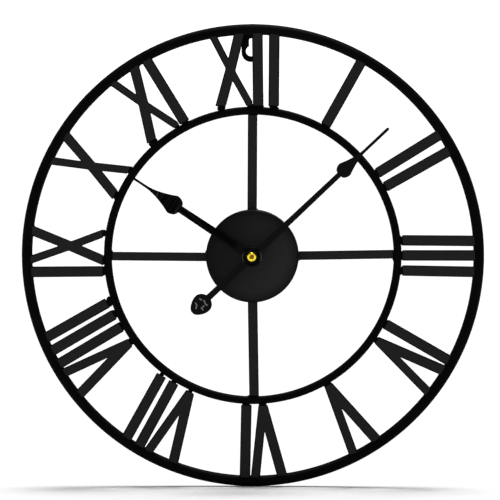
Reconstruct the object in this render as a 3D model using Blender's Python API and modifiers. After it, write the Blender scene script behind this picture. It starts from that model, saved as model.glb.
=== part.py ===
"""Open-frame metal wall clock: Roman numerals between two rings, a quartz movement behind the hub.

Every size is in millimetres and becomes metres where its piece is made. Pieces are laid out in dial
space: the origin is the dial's centre on the wall, X runs right, Y up and Z forwards out of the wall.
One empty, the dial, stands that space upright, so forwards is -Y in the world. The world's origin is
the round end of the hanger's slot, where the wall screw carries the clock.
"""
import math

import bmesh
import bpy

MM = 0.001
GAP = 0.3                   # left between pieces that touch

# Frame
OUTER_RING_R = 195.35       # to the bar's centre
OUTER_BAR_R = 4.65
INNER_RING_R = 125.1
INNER_BAR_R = 3.7
RING_FORWARD = OUTER_BAR_R  # the outer ring's back touches the wall
HUB_R = 40.0
HUB_RIM_BACK = 2.5
HUB_CROWN = 19.6            # front of the hub's middle
HUB_DROP = 1.2              # how much lower the front is at the edge
HUB_EDGE_R = 2.5
SHEET = 1.0
SPOKE_THICKNESS = 2.0

# Each spoke's clock angle and width, and how far its middle stands to the right of its own axis at the
# hub and at the inner ring.
SPOKES = {
    "top": (0, 8.2, -0.4, 0.0),
    "right": (90, 7.6, 0.0, -1.4),
    "bottom": (180, 8.4, 0.0, -1.3),
    "left": (270, 7.5, -1.2, -0.6),
}

# Numerals: flat strips between the rings
FOOT_R = INNER_RING_R + INNER_BAR_R + GAP
HEAD_R = OUTER_RING_R - OUTER_BAR_R - GAP
STRIP_BACK = 5.9
STRIP_FRONT = 7.9
THICK = 9.2
THIN_V = 8.0
THIN_X = 7.4

# Where each stroke's middle line stands at its foot and its head, to the right of the numeral's axis.
# An X or a V lists its thick stroke, then its thin one. A fifth number on an X says how far right its thin
# foot may reach, because the next stroke stands there.
NUMERALS = {
    "i": (1, [("i", -1.7, -2.5)]),
    "ii": (2, [("i", -8.0, -9.8), ("i", 5.6, 6.1)]),
    "iii": (3, [("i", -13.5, -12.9), ("i", -0.5, -0.5), ("i", 12.6, 13.5)]),
    "iv": (4, [("i", -6.5, -6.5), ("v", 10.6, 3.1, 8.9, 26.4)]),
    "v": (5, [("v", 0.0, -13.5, -1.1, 10.1)]),
    "vi": (6, [("v", -8.4, -26.1, -9.1, -2.4), ("i", 5.3, 6.5)]),
    "vii": (7, [("v", -11.6, -30.8, -12.4, -6.4), ("i", 4.0, 2.4), ("i", 16.4, 15.2)]),
    "viii": (8, [("v", -11.5, -29.8, -12.4, -6.4), ("i", 3.4, 2.4), ("i", 15.6, 15.0), ("i", 27.3, 27.3)]),
    "ix": (9, [("i", -13.7, -14.1), ("x", -4.2, 22.3, 19.2, -4.0)]),
    "x": (10, [("x", -14.1, 9.3, 10.8, -16.4)]),
    "xi": (11, [("x", -26.1, -6.7, 0.0, -31.0, 1.8), ("i", 6.9, 5.1)]),
    "xii": (12, [("x", -27.6, -11.0, -1.4, -35.7, -0.1), ("i", 4.9, 4.1), ("i", 18.3, 18.5)]),
}

# Keyhole hanger
HANGER_RIGHT = -1.5         # of the dial's axis, so the plate sits a little to the left of it
SLOT_END = 186.0            # height of the screw above the dial's centre
SLOT_R = 1.7
KEYHOLE_AT = 176.6
KEYHOLE_R = 4.4
HANGER_HALF_WIDTH = 8.2
HANGER_LOW = 167.2
HANGER_TOP = 191.2
HANGER_THICKNESS = 1.5

# Hands, in the order that they sit on the arbor
HOUR_HAND_FORWARD = 25.6
MINUTE_HAND_FORWARD = 28.0
HAND_THICKNESS = 1.0
SPADE_HOLLOW = 1.7          # a power over 1 makes the taper to the needle hollow
HOUR_HAND_AT = 303.5        # degrees clockwise from twelve: eight minutes past ten
MINUTE_HAND_AT = 46.7

# Movement case
CASE_HALF = 28.0
CASE_CORNER_R = 4.0
CASE_BACK = 1.0
CASE_SPLIT = 8.25
CASE_FRONT = 17.0
WALL = 1.6
CHAMBER_LOW = -9.6          # the train chamber is above this line and the battery bay below it
BAY_HIGH = CHAMBER_LOW - WALL
BUSH_R = 4.0
BUSH_FRONT = 24.6
TUBE_R = 2.5                # of the hour wheel
ARBOR_R = 1.6               # of the minute arbor
PIVOT_R = 0.5
KNOB_R = 6.0

# Battery, size AA
BATTERY_R = 7.1
BATTERY_BODY = 48.6
BATTERY_AT = (-18.8, 8.5)   # height and forward place of its axis

# Gears: teeth, then the distance between each pair of axes
CANNON_TEETH, MOTION_TEETH, MOTION_PINION_TEETH, HOUR_TEETH = 12, 36, 10, 40
ROTOR_TEETH, STEP_TEETH, STEP_PINION_TEETH, SECOND_TEETH = 8, 48, 8, 40
SECOND_PINION_TEETH, THIRD_TEETH, THIRD_PINION_TEETH, CENTRE_TEETH = 8, 64, 8, 60
TRAIN_SPACING = 9.0
SECOND_SPACING = 6.2
ROTOR_SPACING = 6.0
ADDENDUM = 0.6
DEDENDUM = 0.9

FINISHES = {
    "frame_black": ((0.006, 0.006, 0.006), 0.5, 0.0),
    "numeral_grey": ((0.016, 0.016, 0.016), 0.6, 0.0),
    "hub_black": ((0.012, 0.012, 0.012), 0.5, 0.0),
    "hand_black": ((0.010, 0.010, 0.010), 0.45, 0.0),
    "brass": ((0.79, 0.58, 0.14), 0.3, 1.0),
    "rubber": ((0.02, 0.02, 0.02), 0.9, 0.0),
    "case_plastic": ((0.018, 0.018, 0.019), 0.45, 0.0),
    "gear_plastic": ((0.80, 0.78, 0.70), 0.4, 0.0),
    "steel": ((0.55, 0.56, 0.58), 0.35, 1.0),
    "copper": ((0.72, 0.33, 0.15), 0.35, 1.0),
    "board_green": ((0.03, 0.20, 0.08), 0.5, 0.0),
    "battery_jacket": ((0.05, 0.15, 0.10), 0.35, 0.0),
}


def remove_all_objects():
    for item in list(bpy.data.objects):
        bpy.data.objects.remove(item)


def make_collection(name):
    collection = bpy.data.collections.new(name)
    bpy.context.scene.collection.children.link(collection)
    return collection


def make_material(slot):
    colour, roughness, metallic = FINISHES[slot]
    made = bpy.data.materials.new(slot)
    made.use_nodes = True
    shader = made.node_tree.nodes["Principled BSDF"]
    shader.inputs["Base Color"].default_value = (*colour, 1.0)
    shader.inputs["Roughness"].default_value = roughness
    shader.inputs["Metallic"].default_value = metallic
    return made


remove_all_objects()
clock = make_collection("wall_clock")
materials = {slot: make_material(slot) for slot in FINISHES}
dial = bpy.data.objects.new("dial", None)
dial.location = (-HANGER_RIGHT * MM, 0.0, -SLOT_END * MM)
dial.rotation_euler = (math.radians(90.0), 0.0, 0.0)
clock.objects.link(dial)


# Ways to make a piece

def add_piece(name, data, slot, at=(0.0, 0.0, 0.0), clockwise=0.0):
    """Put a new object in dial space, turned clockwise by so many degrees as seen from the front."""
    piece = bpy.data.objects.new(name, data)
    piece.parent = dial
    piece.location = [value * MM for value in at]
    piece.rotation_euler = (0.0, 0.0, -math.radians(clockwise))
    piece.data.materials.append(materials[slot])
    clock.objects.link(piece)
    return piece


def flat(name, outlines, back, front, slot, at=(0.0, 0.0), clockwise=0.0):
    """A plate: closed outlines of (x, y) points, filled between them, from back to front."""
    curve = bpy.data.curves.new(name, "CURVE")
    curve.dimensions = "2D"
    curve.fill_mode = "BOTH"
    curve.extrude = (front - back) / 2 * MM
    for outline in outlines:
        spline = curve.splines.new("POLY")
        spline.points.add(len(outline) - 1)
        spline.use_cyclic_u = True
        for point, (x, y) in zip(spline.points, outline):
            point.co = (x * MM, y * MM, 0.0, 1.0)
    return add_piece(name, curve, slot, (*at, (back + front) / 2), clockwise)


def turned(name, profile, slot, at=(0.0, 0.0, 0.0), closed=True, steps=24):
    """A lathe piece: (radius, forward) points down its outer side, swept round its forward axis."""
    mesh = bpy.data.meshes.new(name)
    shape = bmesh.new()
    points = [shape.verts.new((radius * MM, 0.0, forward * MM)) for radius, forward in profile]
    for first, second in zip(points, points[1:]):
        shape.edges.new((first, second))
    if closed:
        shape.edges.new((points[-1], points[0]))
    shape.to_mesh(mesh)
    shape.free()
    piece = add_piece(name, mesh, slot, at)
    sweep = piece.modifiers.new("sweep", "SCREW")
    sweep.steps = steps
    sweep.render_steps = steps
    sweep.use_merge_vertices = True
    sweep.merge_threshold = 0.00001
    return piece


def block(name, low, high, slot, at=(0.0, 0.0), clockwise=0.0):
    """A box between two corners, each (x, y, forward)."""
    outline = [(low[0], low[1]), (high[0], low[1]), (high[0], high[1]), (low[0], high[1])]
    return flat(name, [outline], low[2], high[2], slot, at, clockwise)


def bake(piece):
    """Swap a piece for a mesh of its evaluated shape, with the caps of a curve welded on."""
    bpy.context.view_layer.update()
    graph = bpy.context.evaluated_depsgraph_get()
    mesh = bpy.data.meshes.new_from_object(piece.evaluated_get(graph))
    shape = bmesh.new()
    shape.from_mesh(mesh)
    bmesh.ops.remove_doubles(shape, verts=shape.verts, dist=0.000001)
    shape.to_mesh(mesh)
    shape.free()
    name = piece.name
    baked = bpy.data.objects.new(name, mesh)
    baked.parent = dial
    baked.location = piece.location
    baked.rotation_euler = piece.rotation_euler
    clock.objects.link(baked)
    bpy.data.objects.remove(piece)
    baked.name = name
    return baked


def combine(piece, tools, operation):
    """Join tools to a baked piece, or cut them out of it, and remove them."""
    for tool in tools:
        tool = bake(tool)
        change = piece.modifiers.new(operation.lower(), "BOOLEAN")
        change.operation = operation
        change.object = tool
        change.solver = "EXACT"
        piece = bake(piece)
        bpy.data.objects.remove(tool)
    return piece


def smooth(piece, degrees=30.0):
    piece.data.shade_smooth()
    piece.data.set_sharp_from_angle(angle=math.radians(degrees))


def arc(radius, first, last, count, centre=(0.0, 0.0)):
    """Points on an arc, from one angle to another in degrees, anticlockwise from X."""
    angles = [math.radians(first + (last - first) * step / count) for step in range(count + 1)]
    return [(centre[0] + radius * math.cos(a), centre[1] + radius * math.sin(a)) for a in angles]


def circle(radius, count=24):
    return arc(radius, 0.0, 360.0, count)[:-1]


def rounded_square(half, corner):
    """A square outline with round corners."""
    reach = half - corner
    outline = []
    for start, across, up in ((0, 1, 1), (90, -1, 1), (180, -1, -1), (270, 1, -1)):
        outline += arc(corner, start, start + 90, 6, (across * reach, up * reach))
    return outline


# Frame

def make_ring(name, ring_r, bar_r, segments, sides):
    bpy.ops.mesh.primitive_torus_add(
        major_segments=segments,
        minor_segments=sides,
        major_radius=ring_r * MM,
        minor_radius=bar_r * MM,
    )
    made = bpy.context.object
    mesh = made.data
    bpy.data.objects.remove(made)
    smooth(add_piece(name, mesh, "frame_black", (0.0, 0.0, RING_FORWARD)), 60.0)


def make_spokes():
    start = HUB_R + GAP
    end = INNER_RING_R - INNER_BAR_R - 2 * GAP
    back = RING_FORWARD - SPOKE_THICKNESS / 2
    front = back + SPOKE_THICKNESS
    for side, (clockwise, width, near, far) in SPOKES.items():
        half = width / 2
        outline = [(near - half, start), (near + half, start), (far + half, end), (far - half, end)]
        flat(f"spoke_{side}", [outline], back, front, "numeral_grey", clockwise=clockwise)


def make_hanger():
    """A plate with a round hole for the screw's head, and a slot up to where its shank rests."""
    spread = math.degrees(math.asin(SLOT_R / KEYHOLE_R))
    outside = [(HANGER_HALF_WIDTH, HANGER_TOP), (-HANGER_HALF_WIDTH, HANGER_TOP)]
    outside += arc(HANGER_HALF_WIDTH, 180, 360, 12, (0.0, HANGER_LOW + HANGER_HALF_WIDTH))
    keyhole = arc(SLOT_R, 0, 180, 8, (0.0, SLOT_END))
    keyhole += arc(KEYHOLE_R, 90 + spread, 450 - spread, 20, (0.0, KEYHOLE_AT))
    flat("keyhole_hanger", [outside, keyhole], 0.0, HANGER_THICKNESS, "frame_black", (HANGER_RIGHT, 0.0))


def hub_side(inset):
    """The hub's outer side from its hole to its rim, moved inwards by inset."""
    edge_r = HUB_EDGE_R - inset
    flat_r = HUB_R - HUB_EDGE_R
    face = [BUSH_R + GAP + (flat_r - BUSH_R - GAP) * step / 4 for step in range(5)]
    points = [(r, HUB_CROWN - inset - HUB_DROP * (r / flat_r) ** 2) for r in face]
    corner_forward = HUB_CROWN - HUB_DROP - HUB_EDGE_R
    points += arc(edge_r, 90, 0, 4, (flat_r, corner_forward))[1:]
    points.append((HUB_R - inset, HUB_RIM_BACK))
    return points


def make_hub():
    profile = hub_side(0.0) + hub_side(SHEET)[::-1]
    smooth(turned("hub_dish", profile, "hub_black", steps=40))


# Numerals

def edge_line(foot, head, offset):
    """One edge of a stroke: where it stands at the foot, and how far it leans for each mm of height."""
    return foot + offset, (head - foot) / (HEAD_R - FOOT_R)


def on_line(line, height):
    return line[0] + line[1] * (height - FOOT_R), height


def on_head(line):
    """Where an edge meets the outer ring's arc."""
    height = HEAD_R
    for _ in range(4):
        height = math.sqrt(HEAD_R ** 2 - on_line(line, height)[0] ** 2)
    return on_line(line, height)


def crossing(first, second):
    return on_line(first, FOOT_R + (second[0] - first[0]) / (first[1] - second[1]))


def edges_of(foot, head, width):
    return edge_line(foot, head, -width / 2), edge_line(foot, head, width / 2)


def outline_i(foot, head):
    left, right = edges_of(foot, head, THICK)
    return [on_line(left, FOOT_R), on_line(right, FOOT_R), on_head(right), on_head(left)]


def outline_v(thick_foot, thick_head, thin_foot, thin_head):
    """The thick stroke leans left and the thin one right, from one shared foot."""
    left, inner_left = edges_of(thick_foot, thick_head, THICK)
    inner_right, right = edges_of(thin_foot, thin_head, THIN_V)
    foot = [on_line(left, FOOT_R), on_line(right, FOOT_R)]
    inside = [on_head(inner_right), crossing(inner_left, inner_right), on_head(inner_left)]
    return foot + [on_head(right)] + inside + [on_head(left)]


def cut_foot(line, limit):
    """The corners at the foot of an edge: one, or two where it would stand past a limit."""
    if limit is None:
        return [on_line(line, FOOT_R)]
    return [(limit, FOOT_R), on_line(line, FOOT_R + (limit - line[0]) / line[1])]


def outline_x(thick_foot, thick_head, thin_foot, thin_head, limit=None):
    """The thick stroke rises to the right and the thin one to the left."""
    rise_left, rise_right = edges_of(thick_foot, thick_head, THICK)
    fall_left, fall_right = edges_of(thin_foot, thin_head, THIN_X)
    foot = [on_line(rise_left, FOOT_R), on_line(rise_right, FOOT_R), crossing(rise_right, fall_left)]
    foot += [on_line(fall_left, FOOT_R)] + cut_foot(fall_right, limit) + [crossing(fall_right, rise_right)]
    head = [on_head(rise_right), on_head(rise_left), crossing(rise_left, fall_right)]
    head += [on_head(fall_right), on_head(fall_left), crossing(fall_left, rise_left)]
    return foot + head


OUTLINES = {"i": outline_i, "v": outline_v, "x": outline_x}


def make_numerals():
    for numeral, (hour, strokes) in NUMERALS.items():
        seen = {}
        for shape, *places in strokes:
            seen[shape] = seen.get(shape, 0) + 1
            several = sum(stroke[0] == shape for stroke in strokes) > 1
            name = f"numeral_{numeral}_{shape}" + (f"_{seen[shape]}" if several else "")
            outline = OUTLINES[shape](*places)
            flat(name, [outline], STRIP_BACK, STRIP_FRONT, "numeral_grey", clockwise=hour * 30)


# Hands

def spade(start, widest, end, neck, half_width, needle, steps=5):
    """Right-hand side of a spade: round shoulders from its neck, then a hollow taper to the needle."""
    side = []
    for step in range(steps + 1):
        angle = math.radians(90 * step / steps)
        height = widest - (widest - start) * math.cos(angle)
        side.append((neck + (half_width - neck) * math.sin(angle), height))
    for step in range(1, steps + 2):
        share = step / (steps + 1)
        half = needle + (half_width - needle) * (1 - share) ** SPADE_HOLLOW
        side.append((half, widest + (end - widest) * share))
    return side


def hand_outline(eye_r, root, side, tip, tail=None):
    """A closed outline from the right side of a hand, mirrored; the tail side is below the eye."""
    needle = side[-1][0]
    shoulder = math.sqrt(eye_r ** 2 - root ** 2)
    right = [(root, shoulder)] + side + [(needle, tip - needle), (0.0, tip)]
    left = [(-x, y) for x, y in right[-2::-1]]
    spread = math.degrees(math.asin(root / eye_r))
    if tail is None:
        return right + left + arc(eye_r, 90 + spread, 450 - spread, 20)[1:-1]
    round_left = arc(eye_r, 90 + spread, 270 - spread, 8)[1:]
    down = [(-x, -y) for x, y in tail]
    up = [(x, -y) for x, y in tail[::-1]]
    round_right = arc(eye_r, -90 + spread, 90 - spread, 8)[:-1]
    return right + left + round_left + down + up + round_right


def make_hour_hand():
    side = [(3.4, 43.0)] + spade(74.0, 82.0, 109.0, 3.15, 8.45, 1.05)
    outline = hand_outline(7.5, 3.5, side, 123.5)
    hole = circle(TUBE_R + GAP)
    front = HOUR_HAND_FORWARD + HAND_THICKNESS
    flat("hour_hand", [outline, hole], HOUR_HAND_FORWARD, front, "hand_black", clockwise=HOUR_HAND_AT)


def make_minute_hand():
    side = [(2.6, 43.0), (2.35, 85.0)] + spade(103.2, 110.2, 132.2, 2.3, 6.8, 1.3)
    turns = [math.radians(angle) for angle in (24, 46, 68, 90)]
    tail = [(2.75, 42.0), (2.75, 50.6)]
    tail += [(8.6 * math.sin(turn), 58.3 - 7.6 * math.cos(turn)) for turn in turns]
    tail += [(7.8, 62.7), (5.7, 66.7), (3.7, 68.9), (1.4, 70.3)]
    outline = hand_outline(8.3, 2.85, side, 161.6, tail)
    hole = circle(ARBOR_R + GAP)
    front = MINUTE_HAND_FORWARD + HAND_THICKNESS
    flat("minute_hand", [outline, hole], MINUTE_HAND_FORWARD, front, "hand_black", clockwise=MINUTE_HAND_AT)


def make_hand_nut():
    bore = ARBOR_R + GAP
    nut = [(bore, 32.0), (2.9, 32.0), (3.6, 31.6), (3.95, 30.9), (3.95, 29.3), (bore, 29.3)]
    smooth(turned("hand_nut", nut, "brass"))


# Movement case and its fixings

def make_front_case():
    """The front half of the case, with the bush that goes through the hub."""
    inner = CASE_HALF - WALL
    outside = rounded_square(CASE_HALF, CASE_CORNER_R)
    case = bake(flat("movement_front_case", [outside], CASE_SPLIT + GAP / 2, CASE_FRONT, "case_plastic"))
    side = [(0.0, BUSH_FRONT), (BUSH_R, BUSH_FRONT), (BUSH_R, 16.2), (0.0, 16.2)]
    case = combine(case, [turned("bush", side, "case_plastic", closed=False)], "UNION")
    chamber = flat("chamber", [chamber_outline()], 0.0, CASE_FRONT - 1.5, "case_plastic")
    bay = block("bay", (-inner, -inner, 0.0), (inner, BAY_HIGH, CASE_FRONT - 1.1), "case_plastic")
    bore = flat("bore", [circle(TUBE_R + GAP)], 10.0, 30.0, "case_plastic")
    combine(case, [chamber, bay, bore], "DIFFERENCE")


def chamber_outline():
    """The train chamber: square below, round at its two upper corners."""
    inner = CASE_HALF - WALL
    corner = CASE_CORNER_R - WALL
    reach = inner - corner
    top = arc(corner, 0, 90, 6, (reach, reach)) + arc(corner, 90, 180, 6, (-reach, reach))
    return [(-inner, CHAMBER_LOW), (inner, CHAMBER_LOW)] + top


def make_rear_cover(knob_at):
    """The back half of the case: open where the battery goes in, with a cup for the setting knob."""
    high = CASE_SPLIT - GAP / 2
    inner = CASE_HALF - WALL
    outside = rounded_square(CASE_HALF, CASE_CORNER_R)
    cover = bake(flat("movement_rear_cover", [outside], CASE_BACK, high, "case_plastic"))
    chamber = flat("chamber", [chamber_outline()], 2.4, 12.0, "case_plastic")
    bay = block("bay", (-inner, -inner, -1.0), (inner, BAY_HIGH, 12.0), "case_plastic")
    cover = combine(cover, [chamber, bay], "DIFFERENCE")
    cup = flat("cup", [circle(KNOB_R + 2.0)], 1.8, 5.0, "case_plastic", knob_at)
    cover = combine(cover, [cup], "UNION")
    recess = flat("recess", [circle(KNOB_R + 0.5)], 0.0, 3.8, "case_plastic", knob_at)
    stem_hole = flat("stem_hole", [circle(1.3, 16)], 3.0, 6.0, "case_plastic", knob_at)
    combine(cover, [recess, stem_hole], "DIFFERENCE")


def make_fixings():
    hole = circle(BUSH_R + GAP)
    flat("rubber_washer", [circle(9.0), hole], CASE_FRONT + GAP, 18.3, "rubber")
    flat("fixing_washer", [circle(7.0), hole], HUB_CROWN + GAP, 20.7, "brass")
    flat("hex_nut", [circle(6.35, 6), hole], 21.0, 23.2, "brass")


# Gears

def gear(teeth, module, tip_angle):
    """A toothed outline with its first tip at an angle from X, in degrees."""
    pitch_r = teeth * module / 2
    points = []
    for tooth in range(teeth):
        for share, radius in ((0.0, pitch_r + ADDENDUM * module), (0.5, pitch_r - DEDENDUM * module)):
            angle = math.radians(tip_angle + (tooth + share) * 360 / teeth)
            points.append((radius * math.cos(angle), radius * math.sin(angle)))
    return points


def module_of(spacing, first, second):
    return 2 * spacing / (first + second)


def mesh_angle(tip_angle, teeth, mate_teeth, direction):
    """Tip angle of a gear that meshes with one whose tip angle is given, lying in a direction from it."""
    share = ((direction - tip_angle) / (360 / teeth)) % 1.0
    return direction + 180 - 360 / mate_teeth * (0.5 - share)


def offset(at, spacing, direction):
    angle = math.radians(direction)
    return at[0] + spacing * math.cos(angle), at[1] + spacing * math.sin(angle)


def wheel(name, at, disc, layers, slot="gear_plastic", arbor=None):
    """Gear outlines stacked on one axis and joined: disc is the first outline, layers the rest."""
    outline, back, front = disc
    made = bake(flat(name, [outline], back, front, slot, at))
    tools = [flat("layer", [shape], low, high, slot, at) for shape, low, high in layers]
    if arbor:
        tools.append(flat("arbor", [circle(PIVOT_R, 8)], *arbor, slot, at))
    return combine(made, tools, "UNION")


def make_motion_work(motion_at, knob_at, to_motion, to_knob):
    """Minute arbor, motion wheel, hour wheel and setting knob, which always turn together."""
    cannon_module = module_of(TRAIN_SPACING, CANNON_TEETH, MOTION_TEETH)
    hour_module = module_of(TRAIN_SPACING, MOTION_PINION_TEETH, HOUR_TEETH)
    wheel_tip = mesh_angle(to_motion, CANNON_TEETH, MOTION_TEETH, to_motion)
    hour_tip = mesh_angle(0.0, MOTION_PINION_TEETH, HOUR_TEETH, to_motion + 180)
    knob_tip = mesh_angle(wheel_tip, MOTION_TEETH, CANNON_TEETH, to_knob)
    cannon = (gear(CANNON_TEETH, cannon_module, to_motion), 11.9, 13.7)
    shaft = [(circle(ARBOR_R, 20), 12.5, 31.4), (circle(1.2, 16), 10.2, 12.5)]
    wheel("minute_arbor", (0.0, 0.0), cannon, shaft, "brass")
    disc = (gear(MOTION_TEETH, cannon_module, wheel_tip), 12.1, 13.1)
    pinion = [(gear(MOTION_PINION_TEETH, hour_module, 0.0), 12.6, 15.1)]
    wheel("motion_wheel", motion_at, disc, pinion, arbor=(3.0, 12.6))
    hour = wheel("hour_wheel", (0.0, 0.0), (gear(HOUR_TEETH, hour_module, hour_tip), 14.2, 15.0),
                 [(circle(TUBE_R), 14.6, 27.6)])
    combine(hour, [flat("tube_bore", [circle(ARBOR_R + GAP)], 12.0, 30.0, "gear_plastic")], "DIFFERENCE")
    stem = [(circle(1.0, 16), 3.0, 12.6), (gear(CANNON_TEETH, cannon_module, knob_tip), 11.9, 13.3)]
    wheel("setting_knob", knob_at, (circle(KNOB_R), 1.0, 3.4), stem)


def make_train(third_at, step_at, rotor_at, to_third, to_step, to_rotor):
    """Going train from the rotor to the centre wheel, which slips on the minute arbor for setting."""
    centre_module = module_of(TRAIN_SPACING, THIRD_PINION_TEETH, CENTRE_TEETH)
    third_module = module_of(TRAIN_SPACING, SECOND_PINION_TEETH, THIRD_TEETH)
    second_module = module_of(SECOND_SPACING, STEP_PINION_TEETH, SECOND_TEETH)
    step_module = module_of(ROTOR_SPACING, ROTOR_TEETH, STEP_TEETH)
    pinion_tip = mesh_angle(0.0, CENTRE_TEETH, THIRD_PINION_TEETH, to_third)
    third_tip = mesh_angle(0.0, SECOND_PINION_TEETH, THIRD_TEETH, to_third)
    step_pinion_tip = mesh_angle(0.0, SECOND_TEETH, STEP_PINION_TEETH, to_step)
    rotor_tip = mesh_angle(0.0, STEP_TEETH, ROTOR_TEETH, to_rotor)
    flat("centre_wheel", [gear(CENTRE_TEETH, centre_module, 0.0), circle(1.5, 16)], 10.5, 11.3, "gear_plastic")
    wheel("third_wheel", third_at, (gear(THIRD_TEETH, third_module, third_tip), 9.1, 9.9),
          [(gear(THIRD_PINION_TEETH, centre_module, pinion_tip), 9.5, 11.6)], arbor=(2.8, 15.1))
    wheel("second_wheel", (0.0, 0.0), (gear(SECOND_TEETH, second_module, 0.0), 7.2, 8.0),
          [(gear(SECOND_PINION_TEETH, third_module, 0.0), 7.6, 9.9)], arbor=(2.8, 7.6))
    wheel("step_wheel", step_at, (gear(STEP_TEETH, step_module, 0.0), 5.6, 6.4),
          [(gear(STEP_PINION_TEETH, second_module, step_pinion_tip), 6.0, 8.2)], arbor=(2.8, 9.8))
    wheel("rotor", rotor_at, (circle(2.6), 8.5, 11.5),
          [(gear(ROTOR_TEETH, step_module, rotor_tip), 5.2, 6.8)], "steel", arbor=(2.8, 15.1))


# Motor, circuit and battery

def make_motor(rotor_at):
    """Stepping motor: a C-shaped stator round the rotor, closed by the core that carries the coil."""
    x, y = rotor_at
    left, leg = x - 4.8, x + 4.6
    stator = [(left, y - 5.8), (24.0, y - 5.8), (24.0, y - 2.8), (leg, y - 2.8), (leg, 13.8), (24.0, 13.8)]
    stator += [(24.0, 16.6), (leg - 2.8, 16.6), (leg - 2.8, y + 4.8), (left, y + 4.8)]
    rotor_hole = [(x + px, y + py) for px, py in circle(3.1)]
    flat("stator", [stator, rotor_hole], 9.2, 10.2, "steel")
    coil_x, coil_forward = 21.4, 11.1
    block("coil_core", (coil_x - 1, y - 5.6, coil_forward - 0.6), (coil_x + 1, 16.4, coil_forward + 0.6), "steel")
    flange, winding, bore, half, rim = 4.0, 3.4, 1.6, 9.2, 0.8
    spool = [(bore, half), (flange, half), (flange, half - rim), (winding, half - rim), (winding, rim - half)]
    spool += [(flange, rim - half), (flange, -half), (bore, -half)]
    coil = turned("motor_coil", spool, "copper", (coil_x, 4.0, coil_forward))
    coil.rotation_euler = (math.radians(-90.0), 0.0, 0.0)


def make_circuit():
    flat("circuit_board", [[(-25.0, 14.0), (-4.0, 14.0), (-4.0, 25.4), (-19.0, 25.4), (-25.0, 19.0)]],
         5.0, 6.0, "board_green")
    can = [(0.0, 3.2), (0.9, 3.2), (1.1, 3.0), (1.1, -3.0), (0.0, -3.0)]
    crystal = turned("quartz_crystal", can, "steel", (-12.0, 20.0, 7.5), closed=False, steps=16)
    crystal.rotation_euler = (0.0, math.radians(90.0), 0.0)


def make_battery():
    height, forward = BATTERY_AT
    half = BATTERY_BODY / 2
    side = [(0.0, half + 1.3), (2.6, half + 1.3), (2.7, half), (6.4, half), (BATTERY_R, half - 0.8)]
    side += [(BATTERY_R, 0.8 - half), (6.6, -half), (0.0, -half)]
    battery = turned("battery", side, "battery_jacket", (-0.4, height, forward), closed=False)
    battery.rotation_euler = (0.0, math.radians(90.0), 0.0)
    smooth(battery)


def make_contact(name, path, width, thickness):
    """A bent strip: (x, forward) points, made as wide as the strip and given its thickness."""
    mesh = bpy.data.meshes.new(name)
    shape = bmesh.new()
    rows = []
    for x, forward in path:
        rows.append([shape.verts.new((x * MM, y * MM, forward * MM)) for y in (-width / 2, width / 2)])
    for (low, high), (next_low, next_high) in zip(rows, rows[1:]):
        shape.faces.new((low, high, next_high, next_low))
    shape.to_mesh(mesh)
    shape.free()
    strip = add_piece(name, mesh, "steel", (0.0, BATTERY_AT[0], 0.0))
    wall = strip.modifiers.new("wall", "SOLIDIFY")
    wall.thickness = thickness * MM
    wall.offset = 0.0
    return strip


def make_contacts():
    make_contact("battery_contact_positive", [(26.0, 3.0), (26.0, 14.0)], 8.0, 0.3)
    bow = [(-26.0, 3.0), (-26.0, 5.0), (-25.2, 8.5), (-26.0, 12.0), (-26.0, 14.0)]
    make_contact("battery_contact_negative", bow, 8.0, 0.3)


def main():
    make_ring("outer_ring", OUTER_RING_R, OUTER_BAR_R, 96, 12)
    make_ring("inner_ring", INNER_RING_R, INNER_BAR_R, 72, 10)
    make_spokes()
    make_numerals()
    make_hanger()
    make_hub()
    make_hour_hand()
    make_minute_hand()
    make_hand_nut()

    to_motion, to_knob = 40.0, 60.0
    motion_at = offset((0.0, 0.0), TRAIN_SPACING, to_motion)
    knob_at = offset(motion_at, TRAIN_SPACING, to_knob)
    make_front_case()
    make_rear_cover(knob_at)
    make_fixings()
    make_motion_work(motion_at, knob_at, to_motion, to_knob)

    to_third, to_step, to_rotor = 150.0, 330.0, 0.0
    step_at = offset((0.0, 0.0), SECOND_SPACING, to_step)
    rotor_at = offset(step_at, ROTOR_SPACING, to_rotor)
    third_at = offset((0.0, 0.0), TRAIN_SPACING, to_third)
    make_train(third_at, step_at, rotor_at, to_third, to_step, to_rotor)
    make_motor(rotor_at)
    make_circuit()
    make_battery()
    make_contacts()
    bpy.context.view_layer.update()


main()
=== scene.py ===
# %% [markdown]
# # A wall clock with an open iron frame
#
# Two round bars bent into hoops, Roman numerals cut from flat strip and welded between them, a pressed
# dish in the middle that hides a quartz movement, and two spade hands. The sizes and places come from the
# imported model, which is loaded first. Each piece here is then made with finer edges and a painted finish.

# %% Load the frame
import math

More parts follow.
